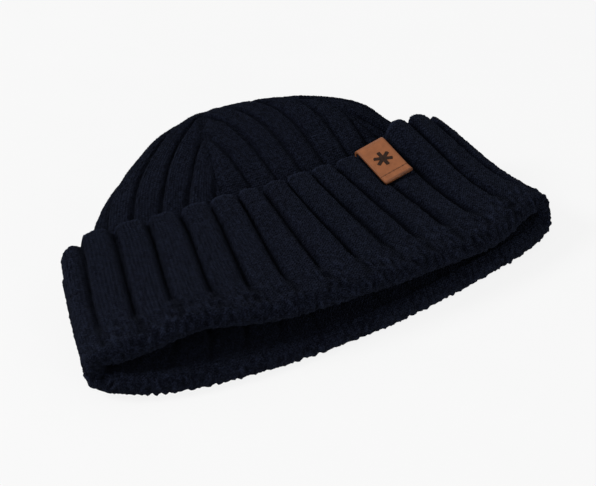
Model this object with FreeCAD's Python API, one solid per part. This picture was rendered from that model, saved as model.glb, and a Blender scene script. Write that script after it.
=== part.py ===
import FreeCAD, Part
import functools
import math
import os

# Ribbed knit beanie with a turned-up cuff and a folded leather label, lying on its back.
# Units are millimetres. +X runs along the opening, +Y from the opening to the crown's tip, +Z is up.
# Fabric distance is measured from the rim fold: up the outside for the cuff, into the hat for the body.
# Rib numbers count round the hat from the left crease, over the front, round the right crease and back.

Vector = FreeCAD.Vector

# Knit
RIBS = 30
COLUMNS = 2 * RIBS          # one section through every rib crest and every groove
WALL = 4.2                  # thickness of one layer at a rib crest
LAYER_GAP = 1.2             # air between the two layers at the rim fold
CUFF_HEIGHT = 62.0          # from the start of the rim's half-round fold
BODY_LENGTH = 144.0         # rim fold to crown tip along the fabric
CUFF_RIB_DEPTH = 1.9
CUFF_SCALLOP = 1.6          # how far a rib crest stands past the mean top edge
CROWN_RIB_DEPTH = 1.5
SIDE_RADIUS = 12.0          # distance of the section's core from its side creases
CUFF_GROOVE_FADE = (6, 18)  # the grooves deepen over these distances from the rim fold
CROWN_GROOVE_FADE = (0, 25)
TIP_GROOVE_FADE = 20.0      # and run out over the last of the crown
PRESSED_HEIGHTS = (0.5, 6.0)
OUTLINE_STEPS = 240         # points worked out along half a section

# The cuff stands away from the crown beside the label: rises over the first two ribs, sinks over the last two
FLARE_RIBS = (12.1, 12.9, 13.4, 15.6)
FLARE_LIFT = 10.5
FLARE_SINK = 0.75
FLARE_START = 16.0
FLARE_PAST_EDGE = 10.0
FLARE_END_RIBS = 0.8

# The front of the rim arches up in two places: rib, half width in ribs, rise
RIM_LIFTS = ((3.4, 1.3, 3.2), (13.7, 1.2, 5.0))
LIFT_END = 30.0             # the fabric lies flat again this far from the rim

# The turned-up edge dips towards the rim at the left crease
CORNER_DROP = 9.0
CORNER_RIBS = 0.8
CORNER_REACH = 45.0         # the dip fades out this far below the edge

# The front's ribs lie closer to its middle at the cuff's free edge, by this share of a rib
GATHER_SHIFT = 0.33
GATHER_START = 5.0

# Label, emblem and stitches
LABEL_RIB = 11.5
LABEL_WIDTH = 14.3
LABEL_LENGTH = 22.5
LABEL_BACK_LENGTH = 9.0
LEATHER = 1.5
LABEL_CLEARANCE = 0.7
LABEL_LIP = 4.0
LABEL_LIP_RISE = 0.7
LABEL_TILT = -9.0           # degrees, turned in its own plane
EMBLEM_SIZE = 8.4
EMBLEM_BAR = 1.7
EMBLEM_THICKNESS = 0.2
STITCHES = 5
STITCH_LENGTH = 1.7
STITCH_RADIUS = 0.3
STITCH_ABOVE_LIP = 1.2

# Yarn at the crown tip and the seam inside the back
GATHER_RADIUS = 2.2
GATHER_YARN = 0.8
GATHER_DROP = 2.0           # ring centre below the tip
GATHER_STANDOFF = 1.2       # ring centre past the tip, clear of the puckered knit
SEAM_RIB = 22.5
SEAM_YARN = 0.9
SEAM_START = 4.0
SEAM_END = 110.0
SEAM_RUNS = 14
SEAM_CLEARANCE = 0.1

# The block of table under the hat
TABLE_REACH = 200.0
TABLE_DEPTH = 50.0

# Middle of the hat's plan, which becomes the origin
PLAN_CENTRE = Vector(-0.87, 35.40, 0.0)

# Each table holds the outer surface at stations along the fabric:
# left and right crease (x, y, z), front and back middle (y, z), how square the front is
# (1 = sine, less = squarer), and how far the front's height, the front's position and the back's
# position tilt from left to right.
CUFF = {
    "station":     [0, 28, CUFF_HEIGHT],
    "left_x":      [-118, -110, -101],
    "right_x":     [116.5, 108, 98],
    "left_y":      [-16, 17, 51],
    "right_y":     [-2.5, 29, 62],
    "left_z":      [12.5, 15, 20],
    "right_z":     [8, 14, 21],
    "front_y":     [-27.5, 4, 39],
    "back_y":      [-30.5, 0, 36],
    "front_z":     [28, 33, 37.5],
    "back_z":      [-0.9, -0.9, -0.9],
    "squareness":  [0.42, 0.48, 0.45],
    "height_tilt": [-3, -2, -1],
    "reach_tilt":  [0, 0, 0],
    "back_tilt":   [8, 4, 0],
}
BODY = {
    "station":     [0, 28, 62, 82, 102, 118, 130, 138, BODY_LENGTH],
    "left_x":      [-111.5, -103, -87, -73, -58, -43, -29, -15, -2],
    "right_x":     [109, 101, 86, 77, 66, 50, 32, 16, -2],
    "left_y":      [-12, 20, 54, 74, 88, 97, 103, 106, 107],
    "right_y":     [5, 32, 61, 77, 88, 97, 103, 106, 107],
    "left_z":      [13, 15, 17, 19, 22, 27, 32, 36, 38],
    "right_z":     [12, 15, 19, 28, 35, 36, 36, 37, 38],
    "front_y":     [-23, 6, 39, 60, 77, 90, 99, 105, 107],
    "back_y":      [-26, 2, 37, 58, 77, 91, 99, 105, 107],
    "front_z":     [23, 26.5, 29, 36, 42, 45, 45, 42, 38],
    "back_z":      [6, 6, 6, 1, -0.6, 4, 13, 24, 38],
    "squareness":  [0.5, 0.5, 0.5, 0.6, 0.7, 0.8, 0.8, 0.9, 0.9],
    "height_tilt": [-4, -2, 1, 3, 4, 3, 1, 0, 0],
    "reach_tilt":  [-3, -1, 0, 0, 0, 0, 0, 0, 0],
    "back_tilt":   [8, 4, 0, 0, 0, 0, 0, 0, 0],
}
BACK_SQUARENESS = 0.4
SAG_POWER = 1.5

# Distances along the fabric at which loops are laid, and over the cuff's edge: (offset, share of the wall)
CUFF_LOOPS = (0, 8, 16, 27, 39, 50)
TOP_EDGE_LOOPS = ((-3, 0), (-0.6, 0.12), (0, 0.45), (-0.6, 0.88), (-3, 1))
BODY_LOOPS = (14, 28, 45, 62, 72, 82, 92, 102, 110, 118, 124, 130, 135, 139.5)


def smooth_step(low, high, value):
    share = min(max((value - low) / (high - low), 0.0), 1.0)
    return share * share * (3 - 2 * share)


def smooth_value(stations, values, at):
    """A cubic curve through the values, which stays straight past the last station."""
    slopes = [(values[i + 1] - values[i]) / (stations[i + 1] - stations[i]) for i in range(len(values) - 1)]
    if at >= stations[-1]:
        return values[-1] + slopes[-1] * (at - stations[-1])
    tangents = [slopes[0]]
    for i in range(1, len(slopes)):
        before = stations[i] - stations[i - 1]
        after = stations[i + 1] - stations[i]
        tangents.append((slopes[i - 1] * after + slopes[i] * before) / (before + after))
    tangents.append(slopes[-1])
    i = max(k for k in range(len(slopes)) if stations[k] <= at)
    span = stations[i + 1] - stations[i]
    s = (at - stations[i]) / span
    return (
        (1 + 2 * s) * (1 - s) ** 2 * values[i]
        + s * (1 - s) ** 2 * span * tangents[i]
        + s * s * (3 - 2 * s) * values[i + 1]
        + s * s * (s - 1) * span * tangents[i + 1]
    )


def section(table, at):
    """The table's values at one distance along the fabric."""
    return {key: smooth_value(table["station"], table[key], at) for key in table if key != "station"}


def section_point(row, angle):
    """A point on the section's outline.

    The angle is 0 at the left crease, pi/2 at the front's middle and pi at the right crease.
    """
    across = -math.cos(angle)
    bulge = abs(math.sin(angle))
    left = (1 - across) / 2
    right = (1 + across) / 2
    x = left * row["left_x"] + right * row["right_x"]
    y = left * row["left_y"] + right * row["right_y"]
    z = left * row["left_z"] + right * row["right_z"]
    middle_y = (row["left_y"] + row["right_y"]) / 2
    if math.sin(angle) > 0:
        y += (row["front_y"] - middle_y + row["reach_tilt"] * across) * bulge ** SAG_POWER
        z += (row["front_z"] + row["height_tilt"] * across - z) * bulge ** row["squareness"]
    else:
        y += (row["back_y"] - middle_y + row["back_tilt"] * across) * bulge ** SAG_POWER
        z += (row["back_z"] - z) * bulge ** BACK_SQUARENESS
    return Vector(x, y, z)


def points_along(points, shares):
    """Points at shares of the length of a run of points, in rising order."""
    reached = [0.0]
    for a, b in zip(points, points[1:]):
        reached.append(reached[-1] + (b - a).Length)
    found = []
    k = 0
    for share in shares:
        target = reached[-1] * share
        while k < len(points) - 2 and reached[k + 1] < target:
            k += 1
        part_way = (target - reached[k]) / (reached[k + 1] - reached[k])
        found.append(points[k] + (points[k + 1] - points[k]) * part_way)
    return found


def outline(row, shift=0.0):
    """The section's outline as one point for each rib crest and groove, from the left crease round.

    The front's ribs are shifted towards its middle by up to a share of a rib.
    """
    turns = [math.pi * i / OUTLINE_STEPS for i in range(OUTLINE_STEPS + 1)]
    front = [section_point(row, turn) for turn in turns]
    back = [section_point(row, math.pi + turn) for turn in turns]
    half = COLUMNS // 2
    even = [i / half for i in range(half)]
    moved = [share + 2 * shift / RIBS * math.sin(2 * math.pi * share) for share in even]
    return points_along(front, moved) + points_along(back, even)


def inward(row, point, depth):
    """The point moved towards the section's core by a depth."""
    side = min(SIDE_RADIUS, (row["right_x"] - row["left_x"]) / 2)
    core_x = min(max(point.x, row["left_x"] + side), row["right_x"] - side)
    core_y = min(point.y, BODY["front_y"][-1] - SIDE_RADIUS)
    core = Vector(core_x, core_y, (row["front_z"] + row["back_z"]) / 2)
    return point + (core - point).normalize() * depth


def is_groove(column):
    return column % 2 == 0


def groove_depth(column, point, full_depth):
    """Grooves flatten out where the knit is pressed against the table."""
    return full_depth * smooth_step(*PRESSED_HEIGHTS, point.z) if is_groove(column) else 0.0


def flare(column, at):
    """How far the cuff beside the label is lifted off the crown."""
    rib = column / 2
    start, full, high, end = FLARE_RIBS
    sunk = FLARE_SINK * smooth_step(high, end, rib)
    past_end = smooth_step(-end, FLARE_END_RIBS - end, -rib)
    beside = smooth_step(start, full, rib) * (1 - sunk) * past_end
    return FLARE_LIFT * beside * smooth_step(FLARE_START, CUFF_HEIGHT + FLARE_PAST_EDGE, at)


def rim_lift(column, at):
    """How far the fabric beside the rim is moved up and back where the rim arches."""
    rib = column / 2
    rise = sum(height * math.exp(-((rib - middle) / width) ** 2) for middle, width, height in RIM_LIFTS)
    rise *= smooth_step(-LIFT_END, 0, -at)
    return Vector(0, rise, rise)


def corner_drop(column, at):
    """How far the fabric near the turned-up edge is drawn towards the rim at the left crease."""
    rib = column / 2
    from_crease = min(rib, RIBS - rib) / CORNER_RIBS
    share = smooth_step(CUFF_HEIGHT - CORNER_REACH, CUFF_HEIGHT, at)
    return CORNER_DROP * math.exp(-from_crease ** 2) * share


@functools.lru_cache(maxsize=None)
def cuff_outline(at):
    """The cuff's section values and its outline at one distance from the rim fold."""
    row = section(CUFF, at)
    return row, outline(row, GATHER_SHIFT * smooth_step(GATHER_START, CUFF_HEIGHT, at))


def cuff_point(column, at, depth, ribbed):
    """One point of the cuff, a depth inside its outer surface, with or without its groove."""
    drop = corner_drop(column, at)
    reached = at - drop if drop > 0.05 else at
    row, points = cuff_outline(reached)
    point = points[column]
    full_depth = CUFF_RIB_DEPTH * smooth_step(*CUFF_GROOVE_FADE, at)
    groove = groove_depth(column, point, full_depth) if ribbed else 0.0
    return inward(row, point, depth + groove) + Vector(0, 0, flare(column, at)) + rim_lift(column, at)


def cuff_loop(at, depth=0.0, ribbed=False):
    """One loop round the cuff, a depth inside its outer surface, with or without the grooves."""
    return [cuff_point(column, at, depth, ribbed) for column in range(COLUMNS)]


def body_loop(at, depth=0.0):
    """One loop round the body. Only its outer surface, at depth 0, has grooves."""
    row = section(BODY, at)
    tip_fade = smooth_step(-BODY_LENGTH, TIP_GROOVE_FADE - BODY_LENGTH, -at)
    fade = smooth_step(*CROWN_GROOVE_FADE, at) * tip_fade
    loop = []
    for column, point in enumerate(outline(row)):
        groove = groove_depth(column, point, CROWN_RIB_DEPTH * fade) if depth == 0 else 0.0
        loop.append(inward(row, point, depth + groove) + rim_lift(column, at))
    return loop


def closed_curve(points):
    """A smooth closed curve through the points, which shares its knots with every other such curve."""
    curve = Part.BSplineCurve()
    steps = [float(i) for i in range(len(points) + 1)]
    curve.interpolate(Points=points, PeriodicFlag=True, Parameters=steps)
    return curve


def rail_curve(points, heights):
    """A smooth open curve through the points, or a straight line where there are two."""
    curve = Part.BSplineCurve()
    if len(points) == 2:
        curve.buildFromPolesMultsKnots(points, [2, 2], [0.0, 1.0], False, 1)
    else:
        curve.interpolate(Points=points, Parameters=heights)
    return curve


def skin(loops, tip=None):
    """A smooth face through closed loops, which ends in a point where a tip is given."""
    curves = [closed_curve(loop) for loop in loops]
    rows = [curve.getPoles() for curve in curves]
    if tip is not None:
        rows.append([tip] * len(rows[0]))
    heights = [0.0]
    for row, following in zip(rows, rows[1:]):
        steps = [(b - a).Length for a, b in zip(row, following)]
        heights.append(heights[-1] + sum(steps) / len(steps))
    rails = [rail_curve(list(column), heights) for column in zip(*rows)]
    surface = Part.BSplineSurface()
    surface.buildFromPolesMultsKnots(
        [rail.getPoles() for rail in rails],
        curves[0].getMultiplicities(),
        rails[0].getMultiplicities(),
        curves[0].getKnots(),
        rails[0].getKnots(),
        True,
        False,
        curves[0].Degree,
        rails[0].Degree,
    )
    return Part.Face(surface)


def solid_from(faces):
    """The solid inside the sewn faces, pressed flat where it meets the table."""
    shell = Part.Shell(faces)
    shell.sewShape()
    solid = Part.Solid(shell)
    if solid.Volume < 0:
        solid.reverse()
    return solid.cut(below_table()).Solids[0]


def below_table():
    """Everything under the surface that the hat's weight presses it flat against."""
    corner = Vector(-TABLE_REACH, -TABLE_REACH, -TABLE_DEPTH)
    return Part.makeBox(2 * TABLE_REACH, 2 * TABLE_REACH, TABLE_DEPTH, corner)


def loop_between(first, second, share, bulge):
    """A loop part way from one loop to another, pushed out by the matching bulge vectors."""
    return [a * (1 - share) + b * share + push for a, b, push in zip(first, second, bulge)]


def bend_loops(start, end, directions, radius):
    """Loops round a half-round bend from one loop to another."""
    loops = []
    for turn in (math.pi / 4, math.pi / 2, 3 * math.pi / 4):
        bulge = [direction * (radius * math.sin(turn)) for direction in directions]
        loops.append(loop_between(start, end, (1 - math.cos(turn)) / 2, bulge))
    return loops


def top_loop(offset, depth, ribbed):
    """A loop near the cuff's top edge, where every crest stands past every groove."""
    loop = []
    for column in range(COLUMNS):
        reach = -CUFF_SCALLOP if is_groove(column) else CUFF_SCALLOP
        loop.append(cuff_point(column, CUFF_HEIGHT + offset + reach, depth, ribbed))
    return loop


def directions_past(outer, inner):
    """Unit vectors that carry on from the inner loop through the outer one."""
    return [(a - b).normalize() for a, b in zip(outer, inner)]


def make_cuff_band():
    """The outer layer: from the body's rim round the fold, up the outside and over the top edge."""
    outer = [cuff_loop(at, ribbed=True) for at in CUFF_LOOPS]
    inner = [cuff_loop(at, depth=WALL) for at in reversed(CUFF_LOOPS)]
    rim_inner = cuff_loop(0, depth=2 * WALL + LAYER_GAP)
    rim_outer = cuff_loop(0, depth=WALL + LAYER_GAP)
    past_rim = directions_past(outer[0], outer[1])
    fold = bend_loops(rim_inner, outer[0], past_rim, WALL + LAYER_GAP / 2)
    top = [top_loop(offset, share * WALL, share < 0.5) for offset, share in TOP_EDGE_LOOPS]
    fold_inside = bend_loops(inner[-1], rim_outer, past_rim, LAYER_GAP / 2)
    return solid_from([
        skin([rim_inner] + fold + outer + top[:3]),
        skin(top[2:] + inner + fold_inside + [rim_outer]),
        skin([rim_outer, rim_inner]),
    ])


def make_knit_body():
    """The inner tube and the crown, from the rim fold to the closed tip."""
    rim_outer = cuff_loop(0, depth=WALL + LAYER_GAP)
    rim_inner = cuff_loop(0, depth=2 * WALL + LAYER_GAP)
    tip_row = section(BODY, BODY_LENGTH)
    tip = section_point(tip_row, 0.0)
    outside = [rim_outer] + [body_loop(at) for at in BODY_LOOPS]
    inside = [rim_inner] + [body_loop(at, depth=WALL) for at in BODY_LOOPS[:-1]]
    return solid_from([
        skin(outside, tip),
        skin(inside, inward(tip_row, tip, WALL)),
        skin([rim_outer, rim_inner]),
    ])


class LabelFrame:
    """Directions at the cuff's top edge under the label: across it, up the fabric and out of it."""

    def __init__(self):
        column = int(2 * LABEL_RIB)
        edge = cuff_loop(CUFF_HEIGHT + CUFF_SCALLOP)
        self.origin = edge[column]
        below = cuff_loop(CUFF_HEIGHT - LABEL_LENGTH)[column]
        self.up = (self.origin - below).normalize()
        across = (edge[column + 1] - edge[column - 1]).normalize()
        self.out = across.cross(self.up).normalize()
        tilt = math.radians(LABEL_TILT)
        self.across = self.up.cross(self.out) * math.cos(tilt) + self.up * math.sin(tilt)
        self.up = self.out.cross(self.across)

    def point(self, across, up, out):
        return self.origin + self.across * across + self.up * up + self.out * out

    def prism(self, outline_points, bottom, thickness):
        """A flat plate: the outline is in (across, up), its underside at a height above the cuff."""
        points = [self.point(a, u, bottom) for a, u in outline_points]
        return Part.Face(Part.makePolygon(points + points[:1])).extrude(self.out * thickness)


def label_face_height():
    return LABEL_CLEARANCE + LEATHER


def make_leather_label(frame):
    """A strip folded over the cuff's top edge, with a raised lip at its lower front end."""
    side = -LABEL_WIDTH / 2
    near = LABEL_CLEARANCE
    far = near + LEATHER
    back_near = -WALL - near
    back_far = back_near - LEATHER
    middle = -WALL / 2
    turn = WALL / 2

    def at(up, out):
        return frame.point(side, up, out)

    edges = [
        Part.LineSegment(at(-LABEL_LENGTH, far + LABEL_LIP_RISE), at(LABEL_LIP - LABEL_LENGTH, far)),
        Part.LineSegment(at(LABEL_LIP - LABEL_LENGTH, far), at(0, far)),
        Part.Arc(at(0, far), at(turn + far, middle), at(0, back_far)),
        Part.LineSegment(at(0, back_far), at(-LABEL_BACK_LENGTH, back_far)),
        Part.LineSegment(at(-LABEL_BACK_LENGTH, back_far), at(-LABEL_BACK_LENGTH, back_near)),
        Part.LineSegment(at(-LABEL_BACK_LENGTH, back_near), at(0, back_near)),
        Part.Arc(at(0, back_near), at(turn + near, middle), at(0, near)),
        Part.LineSegment(at(0, near), at(LABEL_LIP - LABEL_LENGTH, near)),
        Part.LineSegment(at(LABEL_LIP - LABEL_LENGTH, near), at(-LABEL_LENGTH, near + LABEL_LIP_RISE)),
        Part.LineSegment(at(-LABEL_LENGTH, near + LABEL_LIP_RISE), at(-LABEL_LENGTH, far + LABEL_LIP_RISE)),
    ]
    face = Part.Face(Part.Wire([edge.toShape() for edge in edges]))
    return face.extrude(frame.across * LABEL_WIDTH)


def make_label_emblem(frame):
    """A six-armed star of three crossed bars, laid on the label's front."""
    centre_up = -(LABEL_LENGTH - LABEL_LIP) / 2
    star = None
    for turn in range(3):
        angle = math.pi * turn / 3 + math.pi / 2
        along = (math.cos(angle) * EMBLEM_SIZE / 2, math.sin(angle) * EMBLEM_SIZE / 2)
        side = (-math.sin(angle) * EMBLEM_BAR / 2, math.cos(angle) * EMBLEM_BAR / 2)
        corners = [
            (a * along[0] + s * side[0], a * along[1] + s * side[1] + centre_up)
            for a, s in ((-1, -1), (1, -1), (1, 1), (-1, 1))
        ]
        bar = frame.prism(corners, label_face_height(), EMBLEM_THICKNESS)
        star = bar if star is None else star.fuse(bar)
    return star.removeSplitter()


def make_label_stitching(frame):
    """A row of stitches across the label above its lip, each a half-round thread on the leather."""
    up = LABEL_LIP + STITCH_ABOVE_LIP - LABEL_LENGTH
    pitch = LABEL_WIDTH / STITCHES
    stitches = []
    for i in range(STITCHES):
        start = -LABEL_WIDTH / 2 + (i + 0.5) * pitch - STITCH_LENGTH / 2
        height = label_face_height()
        low = frame.point(start, up - STITCH_RADIUS, height)
        crest = frame.point(start, up, height + STITCH_RADIUS)
        high = frame.point(start, up + STITCH_RADIUS, height)
        profile = Part.Wire([Part.Arc(low, crest, high).toShape(), Part.LineSegment(high, low).toShape()])
        stitches.append(Part.Face(profile).extrude(frame.across * STITCH_LENGTH))
    return Part.makeCompound(stitches)


def make_crown_gather_yarn():
    """The drawn ring of yarn that closes the crown, just outside the tip."""
    row = section(BODY, BODY_LENGTH)
    tip = section_point(row, 0.0)
    axis = (tip - inward(row, tip, 1.0)).normalize()
    centre = tip + axis * GATHER_STANDOFF - Vector(0, 0, GATHER_DROP)
    return Part.makeTorus(GATHER_RADIUS, GATHER_YARN, centre, axis)


def make_back_seam_thread():
    """The linking seam's raised thread, along the inside of the back from the rim to the crown."""
    column = int(2 * SEAM_RIB)
    path = []
    for i in range(SEAM_RUNS + 1):
        at = SEAM_START + (SEAM_END - SEAM_START) * i / SEAM_RUNS
        path.append(body_loop(at, depth=WALL + SEAM_YARN + SEAM_CLEARANCE)[column])
    rings = []
    for i, centre in enumerate(path):
        along = path[min(i + 1, SEAM_RUNS)] - path[max(i - 1, 0)]
        rings.append(Part.Wire(Part.makeCircle(SEAM_YARN, centre, along)))
    return Part.makeLoft(rings, True)


def main():
    os.makedirs("parts", exist_ok=True)
    frame = LabelFrame()
    shapes = {
        "knit_body": make_knit_body(),
        "cuff_band": make_cuff_band(),
        "crown_gather_yarn": make_crown_gather_yarn(),
        "back_seam_thread": make_back_seam_thread(),
        "leather_label": make_leather_label(frame),
        "label_emblem": make_label_emblem(frame),
        "label_stitching": make_label_stitching(frame),
    }
    for name, shape in shapes.items():
        shape.translate(-PLAN_CENTRE)
        shape.exportStep(os.path.join("parts", name + ".step"))
        box = shape.optimalBoundingBox()
        print(name, shape.ShapeType, shape.isValid(), round(shape.Volume), "mm3",
              [round(v, 1) for v in (box.XMin, box.XMax, box.YMin, box.YMax, box.ZMin, box.ZMax)])
    return shapes


if __name__ == "__main__":
    main()
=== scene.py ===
import math

import bpy
import numpy as np
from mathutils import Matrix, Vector


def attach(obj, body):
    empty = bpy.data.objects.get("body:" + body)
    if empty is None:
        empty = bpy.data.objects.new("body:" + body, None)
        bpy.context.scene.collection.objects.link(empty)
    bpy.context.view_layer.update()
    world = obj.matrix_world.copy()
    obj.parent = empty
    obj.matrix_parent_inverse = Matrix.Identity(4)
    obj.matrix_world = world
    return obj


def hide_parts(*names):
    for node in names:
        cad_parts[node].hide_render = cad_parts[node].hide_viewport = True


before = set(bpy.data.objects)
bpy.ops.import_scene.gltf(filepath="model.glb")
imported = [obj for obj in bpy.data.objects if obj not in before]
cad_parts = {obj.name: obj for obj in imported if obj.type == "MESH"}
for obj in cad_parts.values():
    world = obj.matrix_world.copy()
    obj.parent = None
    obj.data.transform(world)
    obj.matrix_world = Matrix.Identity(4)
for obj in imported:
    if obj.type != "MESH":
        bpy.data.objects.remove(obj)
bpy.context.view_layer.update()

# A ribbed knit beanie with a turned-up cuff, lying on its back. Shape tables are in millimetres from the
# rim chord's middle, as in the CAD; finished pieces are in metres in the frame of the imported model.
MM = 0.001
PLAN_CENTRE = np.array([-0.87, 35.40, 0.0])

RIBS = 30
WALES = 10                  # stitches across one rib
COLUMNS = RIBS * WALES * 2  # two mesh columns a stitch
COURSE = 1.15               # one row of stitches, mm
WALL = 4.2
LAYER_GAP = 1.2
CUFF_HEIGHT = 62.0
BODY_LENGTH = 144.0
SIDE_RADIUS = 12.0
BACK_SQUARENESS = 0.4
SAG_POWER = 1.5
OUTLINE_STEPS = 300         # points worked out along half a section

# Ribs: groove depths, where the grooves fade out, and the profile across one rib
CUFF_GROOVE = 3.6
CUFF_GROOVE_FADE = (5.0, 15.0)
CUFF_GROOVE_VARIATION = 0.12
CROWN_GROOVE = 2.0
CROWN_GROOVE_FADE = 25.0
TIP_GROOVE_FADE = 22.0
INSIDE_GROOVE = 1.3
INSIDE_GROOVE_FADE = (3.0, 14.0)
INSIDE_TIP_FADE = 30.0
RIB_CREST_DROP = 0.12
RIB_RISE = (-0.03, 0.13)
RIB_FALL = 0.3
RIB_FALL_POWER = 1.6
RIB_WANDER = 0.035          # how far a groove strays sideways, as a share of a rib
CROWN_WANDER = 0.03

# The cuff's free edge
SCALLOP = 2.2
SCALLOP_START = 14.0        # the scallops begin this far below the edge
SCALLOP_MIDDLE = 0.86
SCALLOP_WIDTH = 1.3
EDGE_ROWS = 9
EDGE_BULGE = 1.2
PAINTED_EDGE_HIGHLIGHT_ROWS = 7             # rows of the rolled edge that get a painted highlight
# How much the painted highlight on the rolled edge raises its shade value.
PAINTED_EDGE_HIGHLIGHT = 0.6
SPAN = 6.0                  # distances are looked up this far either way along the fabric
STITCH_RELIEF = 0.20
WALE_SHARE = 0.7
COURSE_SHARE = 0.5
FIBRE_RELIEF = 0.10
CUFF_LUMPS = 0.10
FOLD_LUMPS = 0.34
FOLD_SHADE = 0.45
BODY_LUMPS = 0.09
CUFF_SLUMP = 0.35
BODY_SLUMP = 0.5
FOLD_SHADE_HEIGHT = 0.8     # the fabric's shade where there are no ribs, from 0 to 1
HIDDEN_SHADE = 0.3          # and in the folds that face the body
FOLD_REACH = (20.0, 14.0)   # the fold's lumps fade out this far before and past the rim
FOLD_FADE = 6.0
TUCK_RISE = 3.0             # the fold's inner end: how far above the rim, and how far short of the inner face
TUCK_DEPTH = 1.6
COVERED_LOOPS = 14          # loops of the body under the cuff, from 2 to 52 mm above the rim
COVERED_START = 2.0
COVERED_END = 52.0
TIP_GAP = 1.2               # the last loop's least distance from the crown tip, outside and inside
INSIDE_TIP_GAP = 8.0
INSIDE_STEP = 4.0

# The cuff stands away from the crown beside the label
FLARE_RIBS = (11.5, 12.5, 13.0, 15.6)
FLARE_LIFT = 10.5
FLARE_SINK = 0.75
FLARE_START = 16.0
FLARE_PAST_EDGE = 10.0
FLARE_END_RIBS = 0.8

# The front of the rim arches up in two places, and the edge dips at the left crease
RIM_LIFTS = ((3.4, 1.3, 3.2), (13.7, 1.2, 5.0))   # rib, half width in ribs, rise
LIFT_END = 30.0
RIM_BLEND = 14.0
CORNER_DROP = 9.0
CORNER_RIBS = 0.8
CORNER_REACH = 45.0
GATHER_SHIFT = 0.33
GATHER_START = 5.0
PAST_RIM_SPAN = 8.0         # the fabric's direction at the rim is taken over this distance

# The crown is knitted as four wedges. Ribs run parallel within a wedge and end at its darts.
WEDGE_RIBS = RIBS / 4
FIRST_DART = 5.5
CROWN_START = 60.0
DART_RIBS = 0.3
DART_SOFTNESS = 0.8         # grooves are this much shallower at a dart

# Yarn at the crown tip and the seam inside the back
GATHER_RADIUS = 2.2
GATHER_YARN = 0.8
GATHER_DROP = 2.0
GATHER_STANDOFF = 1.2
SEAM_RIB = 22.5
SEAM_YARN = 0.9
SEAM_START = 8.0
SEAM_END = 110.0
SEAM_STANDOFF = 1.0

# Label, emblem and stitches
LABEL_RIB = 11.5
LABEL_WIDTH = 14.3
LABEL_LENGTH = 22.5
LABEL_BACK_LENGTH = 9.0
LEATHER = 1.5
LABEL_CLEARANCE = 0.7
LABEL_LIP = 4.0
LABEL_LIP_RISE = 0.7
LABEL_TILT = -9.0           # degrees, turned in its own plane
LABEL_CORNER = 0.35
CREASE_DEPTH = 0.22
CREASE_WIDTH = 0.35
CREASE_ABOVE_LIP = 0.4
PRESS_MARGIN = 3.0
HELD_RIBS = 0.62            # half width of the edge that the label holds
HELD_REACH = 0.8            # the knit fills the label's bend
HELD_SLOPE = 2.2
EMBLEM_SIZE = 8.4
EMBLEM_BAR = 1.7
EMBLEM_THICKNESS = 0.2
STITCHES = 5
STITCH_LENGTH = 1.7
STITCH_RADIUS = 0.24
STITCH_MARGIN = 1.2
STITCH_DIP = 0.28

CAMERA_AZIMUTH = -28.6      # degrees
CAMERA_ELEVATION = 35.0
CAMERA_DISTANCE = 0.9       # metres
CAMERA_LENS = 124.5
CAMERA_AIM = (-0.0105, 0.024)   # metres right of and above the rim's middle

# Sections across the hat, by distance along the fabric from the rim's fold: left and right crease
# (x, y, z), front and back middle (y, z), how square the front is (1 = sine, less = squarer), and how far
# the front's height, the front's position and the back's position tilt from left to right.
CUFF = {
    "station":     [0, 28, CUFF_HEIGHT],
    "left_x":      [-118, -110, -101],
    "right_x":     [116.5, 108, 98],
    "left_y":      [-16, 17, 51],
    "right_y":     [-2.5, 29, 62],
    "left_z":      [12.5, 15, 20],
    "right_z":     [8, 14, 21],
    "front_y":     [-27.5, 4, 39],
    "back_y":      [-30.5, 0, 36],
    "front_z":     [28, 33, 37.5],
    "back_z":      [-0.9, -0.9, -0.9],
    "squareness":  [0.42, 0.48, 0.45],
    "height_tilt": [-3, -2, -1],
    "reach_tilt":  [0, 0, 0],
    "back_tilt":   [8, 4, 0],
}
BODY = {
    "station":     [0, 28, 62, 82, 102, 118, 130, 138, BODY_LENGTH],
    "left_x":      [-111.5, -103, -87, -73, -58, -43, -29, -15, -2],
    "right_x":     [109, 101, 86, 77, 66, 50, 32, 16, -2],
    "left_y":      [-12, 20, 54, 74, 88, 97, 103, 106, 107],
    "right_y":     [5, 32, 61, 77, 88, 97, 103, 106, 107],
    "left_z":      [13, 15, 17, 19, 22, 27, 32, 36, 38],
    "right_z":     [12, 15, 19, 28, 35, 36, 36, 37, 38],
    "front_y":     [-23, 6, 39, 60, 77, 90, 99, 105, 107],
    "back_y":      [-26, 2, 37, 58, 77, 91, 99, 105, 107],
    "front_z":     [23, 26.5, 29, 36, 42, 45, 45, 42, 38],
    "back_z":      [6, 6, 6, 1, -0.6, 4, 13, 24, 38],
    "squareness":  [0.5, 0.5, 0.5, 0.6, 0.7, 0.8, 0.8, 0.9, 0.9],
    "height_tilt": [-4, -2, 1, 3, 4, 3, 1, 0, 0],
    "reach_tilt":  [-3, -1, 0, 0, 0, 0, 0, 0, 0],
    "back_tilt":   [8, 4, 0, 0, 0, 0, 0, 0, 0],
}


# ---------------------------------------------------------------- shape functions

def smooth_step(low, high, value):
    share = np.clip((value - low) / (high - low), 0.0, 1.0)
    return share * share * (3 - 2 * share)


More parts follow.
